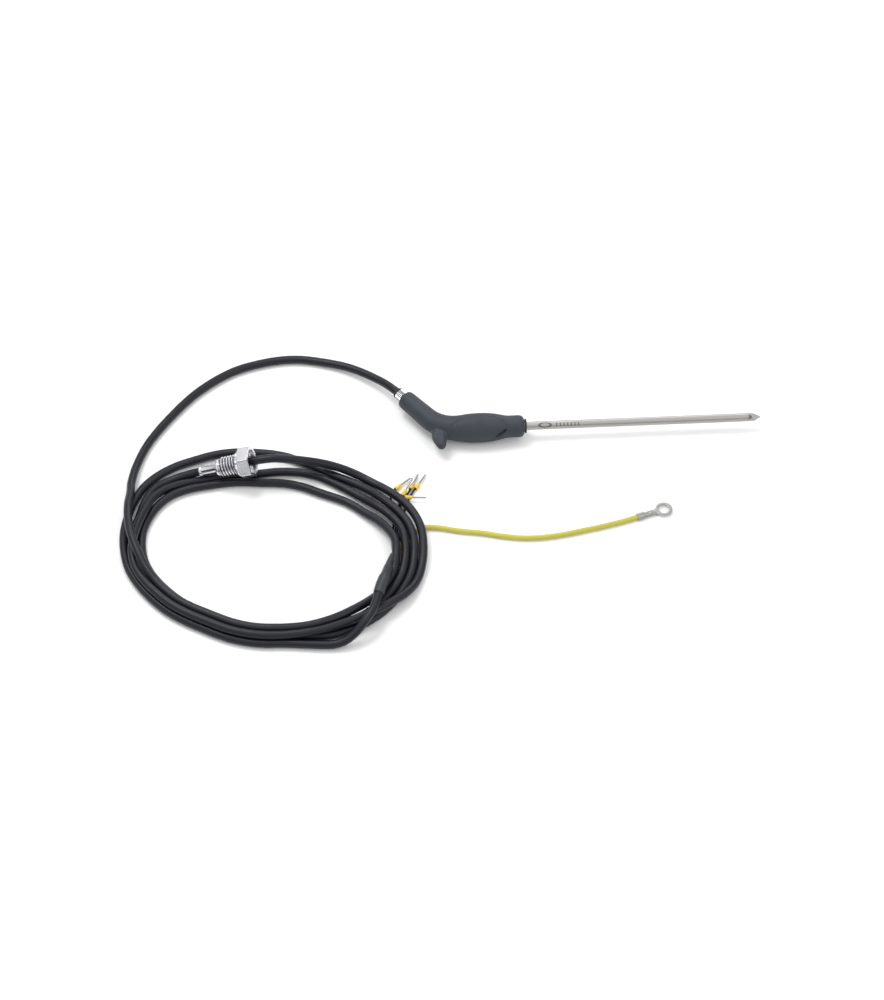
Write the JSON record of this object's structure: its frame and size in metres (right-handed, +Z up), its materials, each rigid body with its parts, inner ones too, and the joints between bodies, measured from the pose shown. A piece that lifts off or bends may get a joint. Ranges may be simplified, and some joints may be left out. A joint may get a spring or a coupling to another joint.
{
  "type": "penetration probe with cable",
  "caption": "Pointed steel penetration probe on an angled hand grip, with a coiled cable, a screw gland, an earth ring terminal and crimped core ends.",
  "frame": {"origin": "on the table, under the middle of the box round the handle and needle", "axes": "+X along the needle towards its point, +Z up from the table it lies on, +Y away from the finger hook"},
  "size_m": [0.3848, 0.2269, 0.0265],
  "materials": {
    "grip_plastic": "fine matte, dark blue grey",
    "needle_steel": "brushed along its length",
    "nickel_plate": "satin nickel plate",
    "tin_plate": "dull tin plate",
    "cable_jacket": "satin black",
    "shrink_sleeve": "matte black heat-shrink",
    "yellow_collar": "satin moulded",
    "earth_insulation": "satin yellow-green",
    "black_rubber": "matte",
    "potting_resin": "cast",
    "ceramic": "unglazed"
  },
  "bodies": {
    "probe": {"handle_grip": "grip_plastic", "front_seal_ring": "black_rubber", "needle_tube": "needle_steel", "needle_tip": "needle_steel", "rear_ferrule": "nickel_plate", "cable_lip": "black_rubber", "needle_collar": "nickel_plate", "potting_plug": "potting_resin", "sensing_element": "ceramic", "lead_insulator": "ceramic", "splice_1": "ceramic", "splice_2": "ceramic", "splice_3": "ceramic", "splice_4": "ceramic", "splice_5": "ceramic", "inner_lead_1": "tin_plate", "inner_lead_2": "tin_plate", "inner_lead_3": "tin_plate", "inner_lead_4": "tin_plate", "inner_lead_5": "tin_plate", "gland_body": "nickel_plate", "spigot_clamp_ring": "nickel_plate", "gland_seal": "black_rubber", "cable_arc": "cable_jacket", "cable_gland_lead": "cable_jacket", "cable_tail": "cable_jacket", "tail_sleeve": "shrink_sleeve", "earth_wire": "earth_insulation", "core_wire_1": "cable_jacket", "core_wire_2": "cable_jacket", "core_wire_3": "cable_jacket", "core_wire_4": "cable_jacket", "core_wire_5": "cable_jacket", "cable_coil": "cable_jacket", "ferrule_collar_1": "yellow_collar", "ferrule_collar_2": "yellow_collar", "ferrule_collar_3": "yellow_collar", "ferrule_collar_4": "yellow_collar", "ferrule_collar_5": "yellow_collar", "ferrule_pin_1": "tin_plate", "ferrule_pin_2": "tin_plate", "ferrule_pin_3": "tin_plate", "ferrule_pin_4": "tin_plate", "ferrule_pin_5": "tin_plate", "ring_terminal": "tin_plate"},
    "washer": {"lock_washer": "nickel_plate"},
    "nut": {"hex_nut": "nickel_plate"}
  },
  "joints": [
    {"name": "nut_run", "type": "slide", "parent": "probe", "child": "washer", "axis": [0.9437, -0.0809, 0.3206], "range_m": [-0.007, 0.00175]},
    {"name": "nut_turn", "type": "hinge", "parent": "washer", "child": "nut", "pos_m": [-0.199, -0.0355, 0.0168], "axis": [0.9437, -0.0809, 0.3206], "range_deg": [-1440, 360]}
  ],
  "couplings": [
    {"joint": "nut_run", "follows": "nut_turn", "m_per_rad": 0.00027852}
  ]
}
